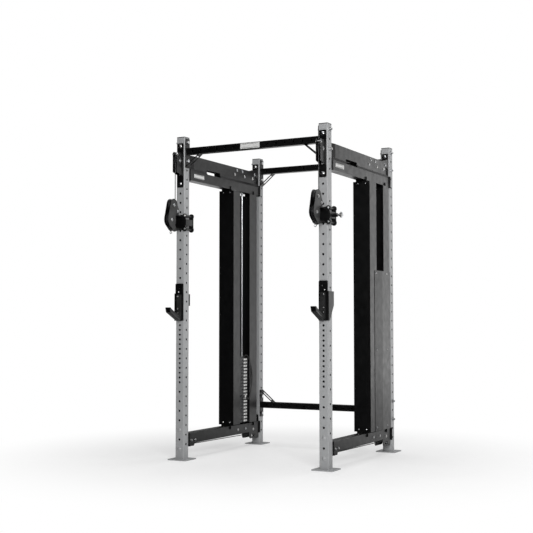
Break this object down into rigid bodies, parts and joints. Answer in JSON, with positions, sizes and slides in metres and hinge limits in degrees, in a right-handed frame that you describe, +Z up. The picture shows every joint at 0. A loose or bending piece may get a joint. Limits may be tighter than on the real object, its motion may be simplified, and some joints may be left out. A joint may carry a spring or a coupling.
{
  "type": "functional trainer",
  "caption": "Four-post functional trainer rack with twin pin-selected weight stacks, sliding cable trolleys with swivel pulley housings, and bar hooks.",
  "frame": {"origin": "middle of the four uprights, on the floor", "axes": "+Z up, +X to the user's right hand when facing the rack's back, +Y towards the back of the rack"},
  "size_m": [1.428, 1.469, 2.395],
  "materials": {
    "post_paint": "light grey satin powder coat",
    "black_paint": "black satin powder coat",
    "zinc": "bright zinc plate",
    "chrome": "ground and chromed rod",
    "rubber": "matt black rubber or urethane",
    "cable_jacket": "black nylon jacket over steel cable",
    "nylon": "moulded black nylon",
    "cast_iron": "black painted cast iron"
  },
  "bodies": {
    "rack": {"front_left_upright": "post_paint", "front_right_upright": "post_paint", "rear_left_upright": "post_paint", "rear_right_upright": "post_paint", "base_plates": "post_paint", "upright_caps": "rubber", "front_top_crossbar": "black_paint", "rear_top_crossbar": "black_paint", "rear_low_crossbar": "black_paint", "top_pulley_brackets": "black_paint", "frame_bolts": "zinc", "pulley_axles": "zinc", "tower_shrouds": "black_paint", "outer_covers": "black_paint", "guide_rods": "chrome", "stack_bumpers": "rubber", "resting_plates": "cast_iron", "cables": "cable_jacket", "left_top_beam": "black_paint", "right_top_beam": "black_paint", "left_bottom_beam": "black_paint", "right_bottom_beam": "black_paint"},
    "left_stack": {"left_lifted_plates": "cast_iron", "left_stack_carriage": "black_paint"},
    "left_selector": {"left_selector_pin": "zinc"},
    "left_float_wheel": {"left_floating_pulley": "nylon"},
    "left_trolley_slide": {"left_trolley": "black_paint", "left_trolley_glides": "nylon"},
    "left_trolley_pin": {"left_pull_pin": "zinc"},
    "left_swivel": {"left_swivel_housing": "black_paint", "left_cable_end": "cable_jacket"},
    "left_upper_wheel": {"left_housing_upper_pulley": "nylon"},
    "left_lower_wheel": {"left_housing_lower_pulley": "nylon"},
    "left_hook": {"left_bar_hook": "black_paint", "left_hook_liner": "rubber"},
    "left_top_front_wheel": {"left_top_front_pulley": "nylon"},
    "left_beam_front_wheel": {"left_beam_front_pulley": "nylon"},
    "left_beam_mid_wheel": {"left_beam_mid_pulley": "nylon"},
    "left_beam_rear_wheel": {"left_beam_rear_pulley": "nylon"},
    "left_bottom_rear_wheel": {"left_bottom_rear_pulley": "nylon"},
    "left_bottom_front_wheel": {"left_bottom_front_pulley": "nylon"},
    "right_stack": {"right_lifted_plates": "cast_iron", "right_stack_carriage": "black_paint"},
    "right_selector": {"right_selector_pin": "zinc"},
    "right_float_wheel": {"right_floating_pulley": "nylon"},
    "right_trolley_slide": {"right_trolley": "black_paint", "right_trolley_glides": "nylon"},
    "right_trolley_pin": {"right_pull_pin": "zinc"},
    "right_swivel": {"right_swivel_housing": "black_paint", "right_cable_end": "cable_jacket"},
    "right_upper_wheel": {"right_housing_upper_pulley": "nylon"},
    "right_lower_wheel": {"right_housing_lower_pulley": "nylon"},
    "right_hook": {"right_bar_hook": "black_paint", "right_hook_liner": "rubber"},
    "right_top_front_wheel": {"right_top_front_pulley": "nylon"},
    "right_beam_front_wheel": {"right_beam_front_pulley": "nylon"},
    "right_beam_mid_wheel": {"right_beam_mid_pulley": "nylon"},
    "right_beam_rear_wheel": {"right_beam_rear_pulley": "nylon"},
    "right_bottom_rear_wheel": {"right_bottom_rear_pulley": "nylon"},
    "right_bottom_front_wheel": {"right_bottom_front_pulley": "nylon"}
  },
  "joints": [
    {"name": "left_stack_lift", "type": "slide", "parent": "rack", "child": "left_stack", "axis": [0, 0, 1], "range_m": [0, 1.15], "deforming": ["cables"]},
    {"name": "left_selector_pull", "type": "slide", "parent": "left_stack", "child": "left_selector", "axis": [1, 0, 0], "range_m": [0, 0.08]},
    {"name": "left_float_spin", "type": "hinge", "parent": "left_stack", "child": "left_float_wheel", "pos_m": [-0.585, 0.232, 0.812], "axis": [1, 0, 0], "continuous": true},
    {"name": "left_trolley_height", "type": "slide", "parent": "rack", "child": "left_trolley_slide", "axis": [0, 0, 1], "range_m": [-0.3, 0.1], "deforming": ["cables"]},
    {"name": "left_pin_pull", "type": "slide", "parent": "left_trolley_slide", "child": "left_trolley_pin", "axis": [-1, 0, 0], "range_m": [-0.012, 0]},
    {"name": "left_housing_swivel", "type": "hinge", "parent": "left_trolley_slide", "child": "left_swivel", "pos_m": [-0.585, -0.692, 1.7508], "axis": [0, 0, 1], "range_deg": [-90, 90]},
    {"name": "left_upper_spin", "type": "hinge", "parent": "left_swivel", "child": "left_upper_wheel", "pos_m": [-0.585, -0.732, 1.8708], "axis": [1, 0, 0], "continuous": true},
    {"name": "left_lower_spin", "type": "hinge", "parent": "left_swivel", "child": "left_lower_wheel", "pos_m": [-0.585, -0.758, 1.7608], "axis": [1, 0, 0], "continuous": true},
    {"name": "left_hook_lift_off", "type": "slide", "parent": "rack", "child": "left_hook", "axis": [-1, 0, 0], "range_m": [0, 0.1]},
    {"name": "left_top_front_spin", "type": "hinge", "parent": "rack", "child": "left_top_front_wheel", "pos_m": [-0.585, -0.652, 2.21], "axis": [1, 0, 0], "continuous": true},
    {"name": "left_beam_front_spin", "type": "hinge", "parent": "rack", "child": "left_beam_front_wheel", "pos_m": [-0.585, 0.152, 2.21], "axis": [1, 0, 0], "continuous": true},
    {"name": "left_beam_mid_spin", "type": "hinge", "parent": "rack", "child": "left_beam_mid_wheel", "pos_m": [-0.585, 0.312, 2.21], "axis": [1, 0, 0], "continuous": true},
    {"name": "left_beam_rear_spin", "type": "hinge", "parent": "rack", "child": "left_beam_rear_wheel", "pos_m": [-0.585, 0.447, 2.21], "axis": [1, 0, 0], "continuous": true},
    {"name": "left_bottom_rear_spin", "type": "hinge", "parent": "rack", "child": "left_bottom_rear_wheel", "pos_m": [-0.585, 0.447, 0.134], "axis": [1, 0, 0], "continuous": true},
    {"name": "left_bottom_front_spin", "type": "hinge", "parent": "rack", "child": "left_bottom_front_wheel", "pos_m": [-0.585, -0.505, 0.134], "axis": [1, 0, 0], "continuous": true},
    {"name": "right_stack_lift", "type": "slide", "parent": "rack", "child": "right_stack", "axis": [0, 0, 1], "range_m": [0, 1.15], "deforming": ["cables"]},
    {"name": "right_selector_pull", "type": "slide", "parent": "right_stack", "child": "right_selector", "axis": [-1, 0, 0], "range_m": [0, 0.08]},
    {"name": "right_float_spin", "type": "hinge", "parent": "right_stack", "child": "right_float_wheel", "pos_m": [0.585, 0.232, 0.812], "axis": [1, 0, 0], "continuous": true},
    {"name": "right_trolley_height", "type": "slide", "parent": "rack", "child": "right_trolley_slide", "axis": [0, 0, 1], "range_m": [-0.3, 0.1], "deforming": ["cables"]},
    {"name": "right_pin_pull", "type": "slide", "parent": "right_trolley_slide", "child": "right_trolley_pin", "axis": [1, 0, 0], "range_m": [-0.012, 0]},
    {"name": "right_housing_swivel", "type": "hinge", "parent": "right_trolley_slide", "child": "right_swivel", "pos_m": [0.585, -0.692, 1.7508], "axis": [0, 0, 1], "range_deg": [-90, 90]},
    {"name": "right_upper_spin", "type": "hinge", "parent": "right_swivel", "child": "right_upper_wheel", "pos_m": [0.585, -0.732, 1.8708], "axis": [1, 0, 0], "continuous": true},
    {"name": "right_lower_spin", "type": "hinge", "parent": "right_swivel", "child": "right_lower_wheel", "pos_m": [0.585, -0.758, 1.7608], "axis": [1, 0, 0], "continuous": true},
    {"name": "right_hook_lift_off", "type": "slide", "parent": "rack", "child": "right_hook", "axis": [1, 0, 0], "range_m": [0, 0.1]},
    {"name": "right_top_front_spin", "type": "hinge", "parent": "rack", "child": "right_top_front_wheel", "pos_m": [0.585, -0.652, 2.21], "axis": [1, 0, 0], "continuous": true},
    {"name": "right_beam_front_spin", "type": "hinge", "parent": "rack", "child": "right_beam_front_wheel", "pos_m": [0.585, 0.152, 2.21], "axis": [1, 0, 0], "continuous": true},
    {"name": "right_beam_mid_spin", "type": "hinge", "parent": "rack", "child": "right_beam_mid_wheel", "pos_m": [0.585, 0.312, 2.21], "axis": [1, 0, 0], "continuous": true},
    {"name": "right_beam_rear_spin", "type": "hinge", "parent": "rack", "child": "right_beam_rear_wheel", "pos_m": [0.585, 0.447, 2.21], "axis": [1, 0, 0], "continuous": true},
    {"name": "right_bottom_rear_spin", "type": "hinge", "parent": "rack", "child": "right_bottom_rear_wheel", "pos_m": [0.585, 0.447, 0.134], "axis": [1, 0, 0], "continuous": true},
    {"name": "right_bottom_front_spin", "type": "hinge", "parent": "rack", "child": "right_bottom_front_wheel", "pos_m": [0.585, -0.505, 0.134], "axis": [1, 0, 0], "continuous": true}
  ],
  "couplings": [
    {"joint": "left_top_front_spin", "follows": "left_stack_lift", "rad_per_m": 50},
    {"joint": "left_beam_front_spin", "follows": "left_stack_lift", "rad_per_m": 50},
    {"joint": "left_beam_mid_spin", "follows": "left_trolley_height", "rad_per_m": -25},
    {"joint": "left_beam_rear_spin", "follows": "left_trolley_height", "rad_per_m": -25},
    {"joint": "left_bottom_rear_spin", "follows": "left_trolley_height", "rad_per_m": -25},
    {"joint": "left_bottom_front_spin", "follows": "left_trolley_height", "rad_per_m": -32.258},
    {"joint": "left_float_spin", "follows": "left_stack_lift", "rad_per_m": -25},
    {"joint": "left_upper_spin", "follows": "left_stack_lift", "rad_per_m": -50},
    {"joint": "left_lower_spin", "follows": "left_stack_lift", "rad_per_m": -50},
    {"joint": "right_top_front_spin", "follows": "right_stack_lift", "rad_per_m": 50},
    {"joint": "right_beam_front_spin", "follows": "right_stack_lift", "rad_per_m": 50},
    {"joint": "right_beam_mid_spin", "follows": "right_trolley_height", "rad_per_m": -25},
    {"joint": "right_beam_rear_spin", "follows": "right_trolley_height", "rad_per_m": -25},
    {"joint": "right_bottom_rear_spin", "follows": "right_trolley_height", "rad_per_m": -25},
    {"joint": "right_bottom_front_spin", "follows": "right_trolley_height", "rad_per_m": -32.258},
    {"joint": "right_float_spin", "follows": "right_stack_lift", "rad_per_m": -25},
    {"joint": "right_upper_spin", "follows": "right_stack_lift", "rad_per_m": -50},
    {"joint": "right_lower_spin", "follows": "right_stack_lift", "rad_per_m": -50}
  ]
}
